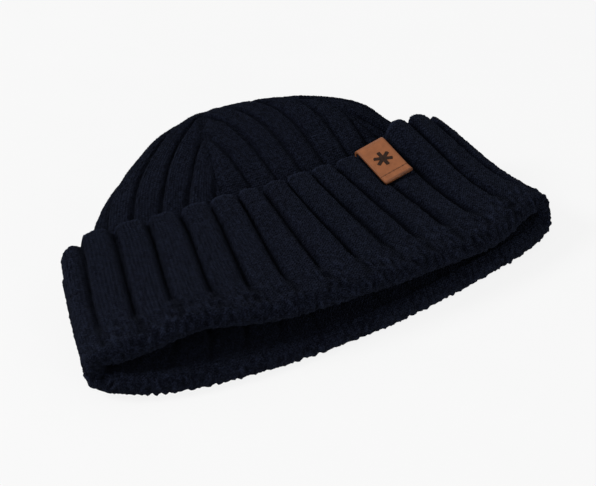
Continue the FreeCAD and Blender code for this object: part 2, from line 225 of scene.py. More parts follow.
def smooth_value(stations, values, at):
    """A cubic curve through the values, which stays straight past the last station."""
    stations = np.asarray(stations, float)
    values = np.asarray(values, float)
    slopes = np.diff(values) / np.diff(stations)
    if at >= stations[-1]:
        return values[-1] + slopes[-1] * (at - stations[-1])
    if at <= stations[0]:
        return values[0] + slopes[0] * (at - stations[0])
    spans = np.diff(stations)
    inner = (slopes[:-1] * spans[1:] + slopes[1:] * spans[:-1]) / (spans[:-1] + spans[1:])
    tangents = np.concatenate([slopes[:1], inner, slopes[-1:]])
    i = int(np.searchsorted(stations, at, side="right")) - 1
    span = spans[i]
    s = (at - stations[i]) / span
    return (
        (1 + 2 * s) * (1 - s) ** 2 * values[i]
        + s * (1 - s) ** 2 * span * tangents[i]
        + s * s * (3 - 2 * s) * values[i + 1]
        + s * s * (s - 1) * span * tangents[i + 1]
    )


def section(table, at):
    return {key: smooth_value(table["station"], table[key], at) for key in table if key != "station"}


def outline(row, ribs):
    """Points of one section at the rib coordinates, evenly spaced along its front and its back."""
    points = np.zeros((len(ribs), 3))
    for half in (0, 1):
        angle = math.pi * (half + np.arange(OUTLINE_STEPS + 1) / OUTLINE_STEPS)
        across = -np.cos(angle)
        bulge = np.abs(np.sin(angle))
        left = (1 - across) / 2
        right = (1 + across) / 2
        x = left * row["left_x"] + right * row["right_x"]
        y = left * row["left_y"] + right * row["right_y"]
        z = left * row["left_z"] + right * row["right_z"]
        middle_y = (row["left_y"] + row["right_y"]) / 2
        if half == 0:
            y = y + (row["front_y"] - middle_y + row["reach_tilt"] * across) * bulge ** SAG_POWER
            z = z + (row["front_z"] + row["height_tilt"] * across - z) * bulge ** row["squareness"]
        else:
            y = y + (row["back_y"] - middle_y + row["back_tilt"] * across) * bulge ** SAG_POWER
            z = z + (row["back_z"] - z) * bulge ** BACK_SQUARENESS
        run = np.stack([x, y, z], axis=1)
        reached = np.concatenate([[0.0], np.cumsum(np.linalg.norm(np.diff(run, axis=0), axis=1))])
        here = (ribs >= half * RIBS / 2) & (ribs < (half + 1) * RIBS / 2)
        share = (ribs[here] - half * RIBS / 2) / (RIBS / 2)
        for axis in range(3):
            points[here, axis] = np.interp(share * reached[-1], reached, run[:, axis])
    return points


def inward(row, points, depth):
    """The points moved towards the section's core by a depth."""
    side = min(SIDE_RADIUS, (row["right_x"] - row["left_x"]) / 2)
    core_x = np.clip(points[:, 0], row["left_x"] + side, row["right_x"] - side)
    core_y = np.minimum(points[:, 1], BODY["front_y"][-1] - SIDE_RADIUS)
    core_z = np.full(len(points), (row["front_z"] + row["back_z"]) / 2)
    toward = np.stack([core_x, core_y, core_z], axis=1) - points
    toward /= np.linalg.norm(toward, axis=1, keepdims=True)
    return points + toward * np.reshape(depth, (-1, 1))


def flare(ribs, at):
    """How far the cuff beside the label is lifted off the crown."""
    start, full, high, end = FLARE_RIBS
    sunk = FLARE_SINK * smooth_step(high, end - 0.5, ribs)
    beside = smooth_step(start, full, ribs) * (1 - sunk)
    beside = beside * smooth_step(-end, FLARE_END_RIBS - end, -ribs)
    return FLARE_LIFT * beside * smooth_step(FLARE_START, CUFF_HEIGHT + FLARE_PAST_EDGE, at)


def rim_lift(ribs, at):
    """How far the fabric is moved up and back where the front of the rim arches."""
    rise = 0.0
    for rib, width, height in RIM_LIFTS:
        rise = rise + height * np.exp(-((ribs - rib) / width) ** 2)
    return rise * smooth_step(-LIFT_END, 0, -at)


def corner_drop(ribs):
    """How far the turned-up edge dips towards the rim beside the left crease."""
    from_crease = np.minimum(ribs, RIBS - ribs)
    return CORNER_DROP * np.exp(-(from_crease / CORNER_RIBS) ** 2)


def gathered(ribs, at):
    """The ribs of the front lie closer together beside its middle, towards the cuff's free edge."""
    front = ribs < RIBS / 2
    slide = GATHER_SHIFT * np.sin(4 * math.pi * ribs / RIBS) * smooth_step(GATHER_START, CUFF_HEIGHT, at)
    return ribs + np.where(front, slide, 0)


def surface_loop(table, at, ribs, depth=0.0):
    """One loop round the cuff or the body, a depth inside its smooth outer surface."""
    row = section(table, at)
    placed = gathered(ribs, at) if table is CUFF else ribs
    loop = inward(row, outline(row, placed), depth + np.zeros(len(ribs)))
    lift = rim_lift(ribs, at)
    loop[:, 1] += lift
    loop[:, 2] += lift
    if table is CUFF:
        loop[:, 2] += flare(ribs, at)
    return loop


def body_surface(at, ribs, depth):
    """The body's surface, drawn out to meet the cuff's fold at the rim."""
    loop = surface_loop(BODY, at, ribs, depth)
    if at >= RIM_BLEND:
        return loop
    at_fold = surface_loop(CUFF, at, ribs, depth + WALL + LAYER_GAP)
    share = smooth_step(0, RIM_BLEND, at)
    return at_fold * (1 - share) + loop * share


class Ripple:
    """A smooth pattern of summed waves that closes round the hat, from a fixed seed."""

    def __init__(self, seed, turns, length_mm, waves=14):
        rng = np.random.default_rng(seed)
        self.turns = rng.integers(-turns, turns + 1, waves)
        self.rates = rng.uniform(-1, 1, waves) * 2 * math.pi / length_mm
        self.phases = rng.uniform(0, 2 * math.pi, waves)

    def __call__(self, ribs, at):
        angle = 2 * math.pi * np.asarray(ribs) / RIBS
        total = 0.0
        for turn, rate, phase in zip(self.turns, self.rates, self.phases):
            total = total + np.sin(turn * angle + rate * at + phase)
        return total / math.sqrt(len(self.turns))


WOBBLE = Ripple(3, 30, 45)
SLUMP = Ripple(5, 9, 90)
LUMPS = Ripple(7, 170, 5, waves=30)
DEPTHS = Ripple(11, 22, 60)


def rib_height(rib):
    """0 in a groove and 1 on a crest; the rise after a groove is steeper than the fall before it."""
    place = rib - np.floor(rib)
    crest = 1 - RIB_CREST_DROP * np.abs(2 * place - 0.9) ** 2
    fall = 1 - (1 - smooth_step(0.0, RIB_FALL, 1 - place)) ** RIB_FALL_POWER
    return crest * smooth_step(*RIB_RISE, place) * fall


def crown_rib(ribs, at):
    """The knit's own rib coordinate on the crown, and the distance to the nearest dart in ribs."""
    narrowing = crown_width(at) / crown_width(CROWN_START)
    wedge = np.floor((ribs - FIRST_DART) / WEDGE_RIBS)
    centre = FIRST_DART + (wedge + 0.5) * WEDGE_RIBS
    offset = ribs - centre
    to_dart = (WEDGE_RIBS / 2 - np.abs(offset)) * narrowing
    return centre + offset * narrowing, to_dart


def crown_width(at):
    """The crown's width, which sets how fast its ribs run into the darts."""
    row = section(BODY, max(at, CROWN_START))
    return max(row["right_x"] - row["left_x"], 0.5)


# ---------------------------------------------------------------- mesh helpers

def grid_normals(grid):
    """Outward unit normals of a grid of points that closes along its second axis."""
    around = np.roll(grid, -1, axis=1) - np.roll(grid, 1, axis=1)
    along = np.gradient(grid, axis=0)
    normals = np.cross(around, along)
    length = np.linalg.norm(normals, axis=2, keepdims=True)
    return normals / np.maximum(length, 1e-9)


def mesh_object(name, points, faces, material, fabric=None, smooth=True):
    """A mesh from points in millimetres; fabric holds stitch column, stitch row and shade for each point."""
    mesh = bpy.data.meshes.new(name)
    mesh.from_pydata(((np.asarray(points) - PLAN_CENTRE) * MM).tolist(), [], faces)
    mesh.validate()
    if fabric is not None:
        layer = mesh.attributes.new("fabric", "FLOAT_VECTOR", "POINT")
        layer.data.foreach_set("vector", np.asarray(fabric, np.float32).ravel())
    mesh.polygons.foreach_set("use_smooth", [smooth] * len(mesh.polygons))
    mesh.materials.append(material)
    thing = bpy.data.objects.new(name, mesh)
    bpy.context.scene.collection.objects.link(thing)
    return thing


def grid_faces(rows, columns, close_rows=False, first_row=0):
    """Faces of a grid of points that closes along its rows, and across them if close_rows."""
    faces = []
    for r in range(first_row, rows if close_rows else rows - 1):
        below = r * columns
        above = ((r + 1) % rows) * columns
        for c in range(columns):
            d = (c + 1) % columns
            faces.append((below + c, below + d, above + d, above + c))
    return faces


def fan_faces(start, columns, tip, outward=True):
    """Triangles from one row of points to a tip."""
    faces = []
    for c in range(columns):
        d = (c + 1) % columns
        faces.append((start + c, start + d, tip) if outward else (tip, start + d, start + c))
    return faces


# ---------------------------------------------------------------- knit geometry

def stitch_relief(rows):
    """Alternating high and low points, one high point to each stitch."""
    wale = np.where(np.arange(COLUMNS) % 2 == 0, 0.5, -0.5)
    course = np.where(np.arange(rows) % 2 == 0, 0.5, -0.5)
    return STITCH_RELIEF * (wale[None, :] * WALE_SHARE + course[:, None] * COURSE_SHARE)


def stitch_place(ribs, at):
    """Stitch columns and stitch row of a loop, for the fabric layer."""
    return ribs * WALES, np.full(COLUMNS, at / COURSE)


def cuff_row(ribs, at, depth, ends=0.0):
    """One loop of the cuff with its grooves and its scalloped end, and the knit's height at each point."""
    rib = ribs + RIB_WANDER * WOBBLE(ribs, at)
    height = rib_height(rib)
    near_edge = smooth_step(CUFF_HEIGHT - SCALLOP_START, CUFF_HEIGHT, at)
    held = np.exp(-((ribs - LABEL_RIB) / HELD_RIBS) ** 6)
    groove = CUFF_GROOVE * (1 + CUFF_GROOVE_VARIATION * DEPTHS(ribs, at)) * smooth_step(*CUFF_GROOVE_FADE, at)
    groove = groove * (1 - held * near_edge)
    place = 2 * (rib - np.floor(rib)) - SCALLOP_MIDDLE
    arch = np.maximum(np.sqrt(np.clip(1 - place ** 2 / SCALLOP_WIDTH, 0, 1)), held)
    reach = SCALLOP * (2 * arch - 1) + held * (HELD_REACH + HELD_SLOPE * (LABEL_RIB - ribs))
    reach = reach * near_edge
    reach = reach - corner_drop(ribs) * smooth_step(CUFF_HEIGHT - CORNER_REACH, CUFF_HEIGHT, at)
    low = surface_loop(CUFF, at - SPAN, ribs, depth)
    high = surface_loop(CUFF, at + SPAN, ribs, depth)
    share = ((reach / SPAN + 1) / 2)[:, None]
    loop = low * (1 - share) + high * share
    return inward(section(CUFF, at), loop, groove * (1 - height) * (1 - ends)), height


def build_cuff(material, label):
    """The outer layer: round the rim's fold, up the outside, over the free edge and down the inside."""
    ribs = np.arange(COLUMNS) * RIBS / COLUMNS
    half_course = COURSE / 2
    loops = []
    fabric = []

    def add(points, at, height):
        loops.append(points)
        fabric.append(np.stack([*stitch_place(ribs, at), height], axis=1))

    base_outer = surface_loop(CUFF, 0, ribs)
    rim_inner = surface_loop(CUFF, 0, ribs, 2 * WALL + LAYER_GAP)
    rim_outer = surface_loop(CUFF, 0, ribs, WALL + LAYER_GAP)
    base_inner = surface_loop(CUFF, 0, ribs, WALL)
    past_rim = base_outer - surface_loop(CUFF, PAST_RIM_SPAN, ribs)
    past_rim /= np.linalg.norm(past_rim, axis=1, keepdims=True)
    flat = np.full(COLUMNS, FOLD_SHADE_HEIGHT)

    def around(start, end, radius, turn):
        share = (1 - math.cos(turn)) / 2
        return start * (1 - share) + end * share + past_rim * radius * math.sin(turn)

    radius = WALL + LAYER_GAP / 2
    fold_rows = int(math.pi * radius / half_course)
    tucked = surface_loop(CUFF, TUCK_RISE, ribs, 2 * WALL + LAYER_GAP - TUCK_DEPTH)
    add(tucked, -fold_rows * half_course, flat)
    for i in range(fold_rows):
        turn = math.pi * i / fold_rows
        add(around(rim_inner, base_outer, radius, turn), (i - fold_rows) * half_course, flat)
    outer_rows = int(CUFF_HEIGHT / half_course)
    for i in range(outer_rows):
        points, height = cuff_row(ribs, i * half_course, 0.0)
        add(points, i * half_course, height)
    for i in range(EDGE_ROWS + 1):
        turn = math.pi * i / EDGE_ROWS
        at = CUFF_HEIGHT + EDGE_BULGE * math.sin(turn)
        depth = WALL * (1 - math.cos(turn)) / 2
        points, height = cuff_row(ribs, at, depth, ends=i / EDGE_ROWS)
        # The first rows of the rolled edge get a painted highlight: their shade value is raised, so they take
        # the pale wool colour.
        add(points, at, height + PAINTED_EDGE_HIGHLIGHT * (i < PAINTED_EDGE_HIGHLIGHT_ROWS))
    for at in np.linspace(CUFF_HEIGHT - 3, 0, 18):
        points, height = cuff_row(ribs, at, WALL, ends=1.0)
        add(points, at, height * HIDDEN_SHADE)
    for turn in (math.pi / 4, math.pi / 2, 3 * math.pi / 4):
        add(around(base_inner, rim_outer, LAYER_GAP / 2, turn), 0, flat)
    add(rim_outer, 0, flat)

    grid = np.stack(loops)
    fabric = np.stack(fabric)
    shown = 1 + fold_rows + outer_rows + EDGE_ROWS // 2
    at_rows = fabric[:, 0, 1] * COURSE
    before, past = FOLD_REACH
    fold = smooth_step(-before, -FOLD_FADE, at_rows) * smooth_step(-past, -FOLD_FADE, -at_rows)
    fold = fold[:, None]
    lumps = np.stack([LUMPS(ribs, at) for at in at_rows])
    slump = np.stack([SLUMP(ribs, at) for at in at_rows])
    relief = stitch_relief(len(loops))
    relief[shown:] = 0.0
    relief += (CUFF_LUMPS + FOLD_LUMPS * fold) * lumps
    relief += FIBRE_RELIEF * np.random.default_rng(21).normal(size=relief.shape)
    relief[shown:] = 0.0
    relief[:shown] += CUFF_SLUMP * slump[:shown]
    fabric[:, :, 2] += FOLD_SHADE * fold * lumps
    points = (grid + grid_normals(grid) * relief[:, :, None]).reshape(-1, 3)
    points = label.press(points)
    points[:, 2] = np.maximum(points[:, 2], 0.0)
    faces = grid_faces(len(loops), COLUMNS, close_rows=True)
    return mesh_object("cuff_band_knit", points, faces, material, fabric)


def crown_row(ribs, at):
    """One loop of the body's outside, whose grooves fade at the rim, at the tip and into the darts."""
    rib, to_dart = crown_rib(ribs, at)
    rib = rib + CROWN_WANDER * WOBBLE(ribs, at)
    height = rib_height(rib)
    dart = 1 - smooth_step(0.0, DART_RIBS, to_dart) if at > CROWN_START else 0 * to_dart
    tip_fade = smooth_step(1 - BODY_LENGTH, TIP_GROOVE_FADE - BODY_LENGTH, -at)
    fade = smooth_step(0, CROWN_GROOVE_FADE, at) * tip_fade
    depth = CROWN_GROOVE * fade * (1 - height * (1 - DART_SOFTNESS * dart))
    depth = depth - BODY_SLUMP * SLUMP(ribs, at) * fade
    if at < CROWN_START:
        depth = np.maximum(depth, 0)
    shade = 1 - (1 - height) * 0.75 * (1 - 0.6 * dart)
    return body_surface(at, ribs, depth), rib, shade


def inside_row(ribs, at):
    """One loop of the body's inside, where the outside's grooves show as low ribs."""
    rib, _ = crown_rib(ribs, at)
    height = rib_height(rib + 0.5)
    tip_fade = smooth_step(INSIDE_TIP_GAP - BODY_LENGTH, INSIDE_TIP_FADE - BODY_LENGTH, -at)
    fade = smooth_step(*INSIDE_GROOVE_FADE, at) * tip_fade
    return body_surface(at, ribs, WALL + INSIDE_GROOVE * fade * height), rib, 0.3 + 0.5 * height


def build_body(material):
    """The inner layer and the crown: up the outside to the tip and back down the inside."""
    ribs = np.arange(COLUMNS) * RIBS / COLUMNS
    tip_row = section(BODY, BODY_LENGTH)
    tip = np.array([tip_row["left_x"], tip_row["left_y"], tip_row["left_z"]])
    half_course = COURSE / 2
    outer_at = np.concatenate([
        np.linspace(COVERED_START, COVERED_END, COVERED_LOOPS, endpoint=False),
        np.arange(COVERED_END, BODY_LENGTH - TIP_GAP, half_course),
    ])
    inner_at = np.concatenate([
        np.arange(BODY_LENGTH - INSIDE_TIP_GAP, CROWN_START, -INSIDE_STEP),
        np.arange(CROWN_START, 1.0, -half_course),
    ])
    at_rim = np.stack([*stitch_place(ribs, 0), np.full(COLUMNS, FOLD_SHADE_HEIGHT)], axis=1)
    loops = [surface_loop(CUFF, 0, ribs, WALL + LAYER_GAP)]
    fabric = [at_rim]
    for row_at, make_row in ((outer_at, crown_row), (inner_at, inside_row)):
        for at in row_at:
            loop, rib, shade = make_row(ribs, at)
            loops.append(loop)
            fabric.append(np.stack([*stitch_place(rib, at), shade], axis=1))
    loops.append(surface_loop(CUFF, 0, ribs, 2 * WALL + LAYER_GAP))
    fabric.append(at_rim)

    grid = np.stack(loops)
    rows = len(loops)
    first_inner = 1 + len(outer_at)
    outside = np.arange(rows) < first_inner
    at_rows = np.array([f[0, 1] for f in fabric]) * COURSE
    crown = smooth_step(CROWN_START, CROWN_START + 10, at_rows)
    crown = crown * smooth_step(-BODY_LENGTH, 30 - BODY_LENGTH, -at_rows)
    lumps = np.stack([LUMPS(ribs, at) for at in at_rows])
    relief = stitch_relief(rows) * np.where(outside, 0.6 * crown, 0.5)[:, None]
    relief += BODY_LUMPS * lumps * np.where(outside, crown, 1.0)[:, None]
    relief += FIBRE_RELIEF * np.random.default_rng(22).normal(size=relief.shape)
    relief[0] = 0
    relief[-1] = 0
    points = (grid + grid_normals(grid) * relief[:, :, None]).reshape(-1, 3)
    points[:, 2] = np.maximum(points[:, 2], 0.0)
    inside_tip = inward(tip_row, tip[None, :], np.array([WALL]))[0]
    points = np.concatenate([points, tip[None, :], inside_tip[None, :]])

    faces = grid_faces(first_inner, COLUMNS)
    faces += fan_faces((first_inner - 1) * COLUMNS, COLUMNS, rows * COLUMNS)
    faces += fan_faces(first_inner * COLUMNS, COLUMNS, rows * COLUMNS + 1, outward=False)
    faces += grid_faces(rows, COLUMNS, close_rows=True, first_row=first_inner)
    ends = np.array([[0, BODY_LENGTH / COURSE, 0.5]] * 2)
    return mesh_object("knit_body_crown", points, faces, material, np.concatenate(fabric + [ends]))


# ---------------------------------------------------------------- materials

class Nodes:
    """A short way to write a node tree."""

    def __init__(self, name):
        self.material = bpy.data.materials.new(name)
        self.material.use_nodes = True
        self.tree = self.material.node_tree
        self.shader = self.tree.nodes["Principled BSDF"]

    def add(self, kind, inputs=None, **settings):
        node = self.tree.nodes.new(kind)
        for key, value in settings.items():
            setattr(node, key, value)
        for key, value in (inputs or {}).items():
            self.plug(node.inputs[key], value)
        return node

    def plug(self, socket, value):
        if isinstance(value, bpy.types.NodeSocket):
            self.tree.links.new(value, socket)
        else:
            socket.default_value = value

    def math(self, operation, a, b=0.0, clamp=False):
        node = self.add("ShaderNodeMath", {0: a, 1: b}, operation=operation, use_clamp=clamp)
        return node.outputs[0]

    def spread(self, value, low, high, to_low=0.0, to_high=1.0):
        node = self.add("ShaderNodeMapRange", {0: value, 1: low, 2: high, 3: to_low, 4: to_high})
        return node.outputs[0]

    def noise(self, vector, scale, detail=2.0, roughness=0.5):
        node = self.add("ShaderNodeTexNoise", {"Vector": vector, "Scale": scale, "Detail": detail,
                                               "Roughness": roughness})
        return node.outputs[0]

    def mix(self, share, a, b):
        node = self.add("ShaderNodeMix", data_type="RGBA")
        self.plug(node.inputs[0], share)
        self.plug(node.inputs[6], a)
        self.plug(node.inputs[7], b)
        return node.outputs[2]

    def bump(self, height, distance, strength=1.0, normal=None):
        inputs = {"Height": height, "Distance": distance, "Strength": strength}
        if normal is not None:
            inputs["Normal"] = normal
        return self.add("ShaderNodeBump", inputs).outputs[0]

    def finish(self, **sockets):
        for key, value in sockets.items():
            self.plug(self.shader.inputs[key.replace("_", " ")], value)
        return self.material


# Wool colours. The deepest also serves as painted shade in grooves and between stitches, and the palest as a
# painted highlight.
DEEP_WOOL_AND_SHADE = (0.0005, 0.0006, 0.0012, 1)
DARK_WOOL = (0.0010, 0.0011, 0.0022, 1)
MID_WOOL = (0.0015, 0.0017, 0.0033, 1)
PALE_WOOL_AND_HIGHLIGHT = (0.0061, 0.0077, 0.0146, 1)


def wool_material():
    """Dark navy knit: V stitches with painted shade between their legs, heathered fibres whose pale speckle
    is partly a painted highlight on the crests, and painted shade in the grooves.

    The fabric layer gives the stitch column, the stitch row and the shade, which is 0 in a groove, 1 on a
    crest and more where the cuff's rolled edge gets a painted highlight.
    """
    n = Nodes("navy_wool_knit")
    fabric = n.add("ShaderNodeAttribute", attribute_name="fabric").outputs["Vector"]
    place = n.add("ShaderNodeTexCoord").outputs["Object"]
    split = n.add("ShaderNodeSeparateXYZ", {0: fabric})
    wale, course, height = split.outputs[0], split.outputs[1], split.outputs[2]
    across = n.math("ABSOLUTE", n.math("SUBTRACT", n.math("FRACT", wale), 0.5))
    leg = n.math("FRACT", n.math("SUBTRACT", course, n.math("MULTIPLY", across, 1.3)))
    leg_round = n.math("SINE", n.math("MULTIPLY", leg, math.pi))
    wale_round = n.math("SINE", n.math("MULTIPLY", n.math("SUBTRACT", 0.5, across), math.pi))
    stitch = n.math("MULTIPLY", leg_round, n.spread(wale_round, 0.0, 1.0, 0.35, 1.0))
    heather = n.noise(place, 620.0, 3.0, 0.75)
    fibres = n.noise(place, 1500.0, 2.0, 0.7)
    patches = n.noise(place, 60.0, 3.0, 0.55)
    streaks = n.noise(n.add("ShaderNodeVectorMath", {0: fabric, 1: (1.0, 0.12, 0.0)},
                            operation="MULTIPLY").outputs[0], 1.7, 2.0, 0.6)
    speckle = n.math("ADD", n.math("MULTIPLY", heather, 0.5), n.math("MULTIPLY", fibres, 0.5))
    speckle = n.spread(speckle, 0.45, 0.59)
    yarn = n.mix(n.spread(patches, 0.3, 0.7), DARK_WOOL, MID_WOOL)
    streaked = n.mix(n.spread(streaks, 0.35, 0.7, 0.0, 0.3), yarn, DEEP_WOOL_AND_SHADE)
    # Pale fibre speckle: partly the yarn's own heather, and partly a painted highlight, stronger on the
    # crests and weaker in the grooves.
    speckle_and_painted_crest_light = n.mix(n.math("MULTIPLY", speckle, n.spread(height, 0.1, 1.0, 0.25, 0.9)), streaked, PALE_WOOL_AND_HIGHLIGHT)
    # Painted highlight along the cuff's rolled edge, where the shade value is above 1.
    edge_tone_and_painted_light = n.mix(n.spread(height, 1.1, 1.5, 0.0, 0.8), speckle_and_painted_crest_light, PALE_WOOL_AND_HIGHLIGHT)
    # Painted shade between the legs of each stitch.
    shaded = n.mix(n.spread(stitch, 0.0, 0.5, 0.6, 0.0), edge_tone_and_painted_light, DEEP_WOOL_AND_SHADE)
    # Painted shade in the grooves between the ribs.
    deep = n.mix(n.spread(height, 0.05, 0.6, 0.8, 0.0), shaded, DEEP_WOOL_AND_SHADE)
    first = n.bump(stitch, 0.0005, 1.0)
    second = n.bump(n.math("ADD", fibres, heather), 0.0005, 0.9, first)
    return n.finish(
        Base_Color=deep,
        Roughness=n.spread(heather, 0.3, 0.7, 0.85, 1.0),
        Normal=second,
        Specular_IOR_Level=0.0,
        Sheen_Weight=0.016,
        Sheen_Roughness=0.5,
        Sheen_Tint=(0.6, 0.7, 1.0, 1),
    )


def leather_material():
    """Tan leather with pores and clouds, darker along its edges, with painted shade in its crease and at its
    lip's cut end.
    """
    n = Nodes("tan_label_leather")
    place = n.add("ShaderNodeTexCoord").outputs["Object"]
    pores = n.add("ShaderNodeTexVoronoi", {"Vector": place, "Scale": 2200.0}).outputs["Distance"]
    mottle = n.noise(place, 260.0, 4.0, 0.6)
    clouds = n.noise(place, 70.0, 2.0, 0.5)
    edge = n.add("ShaderNodeAttribute", attribute_name="fabric").outputs["Vector"]
    edge_and_painted_shade_mask = n.add("ShaderNodeSeparateXYZ", {0: edge}).outputs[2]
    base = n.mix(n.spread(mottle, 0.3, 0.7), (0.102, 0.033, 0.0100, 1), (0.150, 0.050, 0.0165, 1))
    cloudy = n.mix(n.spread(clouds, 0.35, 0.65, 0.0, 0.35), base, (0.084, 0.026, 0.0080, 1))
    # Darker along the strip's edges, with painted shade in the crease and at the lip's cut end.
    edge_tone_and_painted_light = n.mix(n.math("MULTIPLY", edge_and_painted_shade_mask, n.spread(mottle, 0.2, 0.7)), cloudy, (0.036, 0.0115, 0.004, 1))
    normal = n.bump(pores, 0.00008, 0.5)
    normal = n.bump(mottle, 0.00012, 0.4, normal)
    return n.finish(
        Base_Color=edge_tone_and_painted_light,
        Roughness=n.spread(mottle, 0.3, 0.7, 0.5, 0.68),
        Normal=normal,
        Specular_IOR_Level=0.2,
    )


def mark_material():
    """Dark brown, a little uneven, as if pressed into the leather."""
    n = Nodes("pressed_brown_mark")
    place = n.add("ShaderNodeTexCoord").outputs["Object"]
    mottle = n.noise(place, 900.0, 4.0, 0.6)
    colour = n.mix(n.spread(mottle, 0.3, 0.7), (0.006, 0.0028, 0.0017, 1), (0.014, 0.006, 0.0036, 1))
    return n.finish(
        Base_Color=colour,
        Roughness=n.spread(mottle, 0.3, 0.7, 0.55, 0.75),
        Normal=n.bump(mottle, 0.0001, 0.5),
        Specular_IOR_Level=0.08,
    )


def thread_material(name, dark, light, twist_scale):
    """Matt thread with slanting dark lines between its fibres."""
    n = Nodes(name)
    place = n.add("ShaderNodeTexCoord").outputs["Object"]
    twist = n.add("ShaderNodeTexWave", {"Vector": place, "Scale": twist_scale, "Distortion": 1.5,
                                        "Detail": 2.0}, bands_direction="DIAGONAL").outputs["Fac"]
    fibre = n.noise(place, 3000.0, 2.0, 0.6)
    colour = n.mix(n.math("MULTIPLY", twist, n.spread(fibre, 0.2, 0.8)), dark, light)
    return n.finish(
        Base_Color=colour,
        Roughness=n.spread(fibre, 0.3, 0.7, 0.75, 0.95),
        Normal=n.bump(n.math("ADD", twist, fibre), 0.0002, 0.6),
        Specular_IOR_Level=0.15,
    )


def floor_material():
    """A pale lit table, so bright of itself that the hat's shadow on it is faint."""
    n = Nodes("pale_studio_floor")
    place = n.add("ShaderNodeTexCoord").outputs["Object"]
    grain = n.noise(place, 30.0, 2.0, 0.5)
    colour = n.mix(n.spread(grain, 0.3, 0.7), (0.040, 0.040, 0.040, 1), (0.042, 0.042, 0.042, 1))
    return n.finish(Base_Color=colour, Roughness=n.spread(grain, 0.3, 0.7, 0.9, 0.95),
                    Specular_IOR_Level=0.0, Emission_Color=(1, 1, 1, 1), Emission_Strength=0.86)


# ---------------------------------------------------------------- label

class LabelFrame:
    """Directions at the cuff's top edge under the label, worked out as in the CAD."""

    def __init__(self):
        step = 0.6
        ribs = np.array([LABEL_RIB - step, LABEL_RIB, LABEL_RIB + step])
        edge = surface_loop(CUFF, CUFF_HEIGHT + 1.6, ribs)
        below = surface_loop(CUFF, CUFF_HEIGHT - LABEL_LENGTH, ribs)
        self.origin = edge[1]
        self.up = (edge[1] - below[1]) / np.linalg.norm(edge[1] - below[1])
        across = edge[2] - edge[0]
        self.out = np.cross(across, self.up)
        self.out /= np.linalg.norm(self.out)
        across = np.cross(self.up, self.out)
        tilt = math.radians(LABEL_TILT)
        self.across = across * math.cos(tilt) + self.up * math.sin(tilt)
        self.up = np.cross(self.out, self.across)

    def point(self, across, up, out):
        return self.origin + self.across * across + self.up * up + self.out * out

    def press(self, points):
        """The knit's points, pushed down where the label lies tight on them."""
        local = points - self.origin
        across, up, out = local @ self.across, local @ self.up, local @ self.out
        beside = smooth_step(0, PRESS_MARGIN, LABEL_WIDTH / 2 + PRESS_MARGIN - np.abs(across))
        below = smooth_step(0, PRESS_MARGIN, up + LABEL_LENGTH + PRESS_MARGIN)
        above = smooth_step(0, PRESS_MARGIN, PRESS_MARGIN + WALL - up)
        near = (out > 0) & (out < LABEL_LENGTH)
        push = np.where(near, out * beside * below * above, 0.0)
        return points - push[:, None] * self.out


def crease(up):
    """How deep the leather is pressed in at the line above its lip."""
    front = -LABEL_LENGTH + LABEL_LIP
    return CREASE_DEPTH * math.exp(-((up - front - CREASE_ABOVE_LIP) / CREASE_WIDTH) ** 2)


def face_height(up):
    """Distance of the label's outer face from the cuff's crests."""
    return LABEL_CLEARANCE + LEATHER - crease(up)


def label_route():
    """The leather's middle line from the lip's end, up the front, round the edge and down the back."""
    mid = LABEL_CLEARANCE + LEATHER / 2
    bend = WALL / 2 + mid
    front = -LABEL_LENGTH + LABEL_LIP
    route = []
    for share in np.linspace(0, 1, 9):
        route.append((-LABEL_LENGTH + LABEL_LIP * share, mid + LABEL_LIP_RISE * (1 - share) ** 1.4))
    for share in np.linspace(0, 1, 60)[1:]:
        up = front * (1 - share)
        route.append((up, mid - crease(up)))
    for turn in np.linspace(0, math.pi, 16)[1:]:
        route.append((bend * math.sin(turn), -WALL / 2 + bend * math.cos(turn)))
    for share in np.linspace(0, 1, 10)[1:]:
        route.append((-LABEL_BACK_LENGTH * share, -WALL - mid))
    return np.array(route)


def label_profile():
    """The strip's cross-section with softened corners: across, out, and how near a corner it is."""
    half = LABEL_WIDTH / 2
    corners = []
    for side, face, start in ((-1, 1, math.pi), (1, 1, math.pi / 2), (1, -1, 0.0), (-1, -1, -math.pi / 2)):
        for i in range(4):
            angle = start - math.pi / 2 * i / 3
            corners.append((side * (half - LABEL_CORNER) + LABEL_CORNER * math.cos(angle),
                            face * (LEATHER / 2 - LABEL_CORNER) + LABEL_CORNER * math.sin(angle)))
    profile = []
    for (a0, b0), (a1, b1) in zip(corners, corners[1:] + corners[:1]):
        steps = 16 if math.hypot(a1 - a0, b1 - b0) > LABEL_WIDTH / 2 else 1
        for i in range(steps):
            share = i / steps
            edge = 1.0 if steps == 1 else max(0.0, 1 - min(share, 1 - share) * steps)
            profile.append((a0 + (a1 - a0) * share, b0 + (b1 - b0) * share, edge))
    return profile


def build_label(label, material):
    """A leather strip folded over the cuff's edge, with softened edges and a raised lip."""
    route = label_route()
    tangent = np.gradient(route, axis=0)
    tangent /= np.linalg.norm(tangent, axis=1, keepdims=True)
    out_side = np.stack([-tangent[:, 1], tangent[:, 0]], axis=1)
    profile = label_profile()
    front = -LABEL_LENGTH + LABEL_LIP
    points = []
    edge_and_painted_shade_values = []
    for (up, out), (n_up, n_out) in zip(route, out_side):
        # The strip is darker along its edges, and gets painted shade in the crease above the lip and at the
        # lip's cut end.
        at_crease = 0.9 * math.exp(-((up - front - CREASE_ABOVE_LIP) / 0.4) ** 2) if out > 0 else 0
        at_cut = smooth_step(0, 0.6, 1.1 - LABEL_LENGTH - up)
        for across, b, edge in profile:
            points.append(label.point(across, up + n_up * b, out + n_out * b))
            edge_and_painted_shade_values.append((0, 0, max(0.5 * edge, at_crease, at_cut)))
    rows, columns = len(route), len(profile)
    faces = [tuple(reversed(face)) for face in grid_faces(rows, columns)]
    faces.append(tuple(range(columns)))
    faces.append(tuple(reversed(range((rows - 1) * columns, rows * columns))))
    return mesh_object("leather_label_strip", points, faces, material, edge_and_painted_shade_values)


